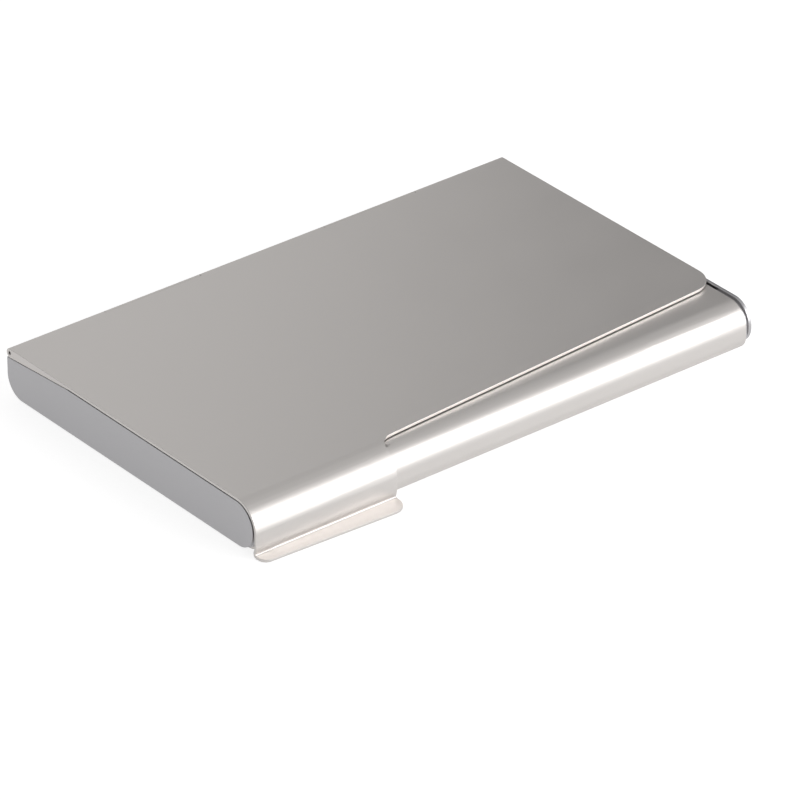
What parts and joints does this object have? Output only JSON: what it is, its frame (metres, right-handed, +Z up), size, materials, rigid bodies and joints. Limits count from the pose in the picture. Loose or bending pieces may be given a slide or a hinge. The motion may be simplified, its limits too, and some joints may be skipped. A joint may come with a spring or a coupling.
{
  "type": "business card case",
  "caption": "Slim sheet-metal case for business cards: a tray with a rolled front, and a hinged lid that wraps over the roll and ends in a thumb lip.",
  "frame": {"origin": "centre of the tray's flat underside", "axes": "+X along the hinge, towards the end away from the thumb lip; +Y towards the hinge at the rear; +Z up, towards the lid"},
  "size_m": [0.095, 0.0629, 0.0082],
  "materials": {
    "satin_steel": "satin, very fine grain",
    "cap_steel": "matt, bead blasted",
    "spring_steel": "bright drawn",
    "rivet_steel": "bright"
  },
  "bodies": {
    "tray": {"body_tray": "satin_steel", "left_end_cap": "cap_steel", "right_end_cap": "cap_steel", "hinge_wire": "spring_steel", "card_spring": "spring_steel", "spring_rivets": "rivet_steel"},
    "lid": {"lid": "satin_steel"}
  },
  "joints": [
    {"name": "lid_hinge", "type": "hinge", "parent": "tray", "child": "lid", "pos_m": [0, 0.0295, 0.0075], "axis": [-1, 0, 0], "range_deg": [0, 110]}
  ]
}
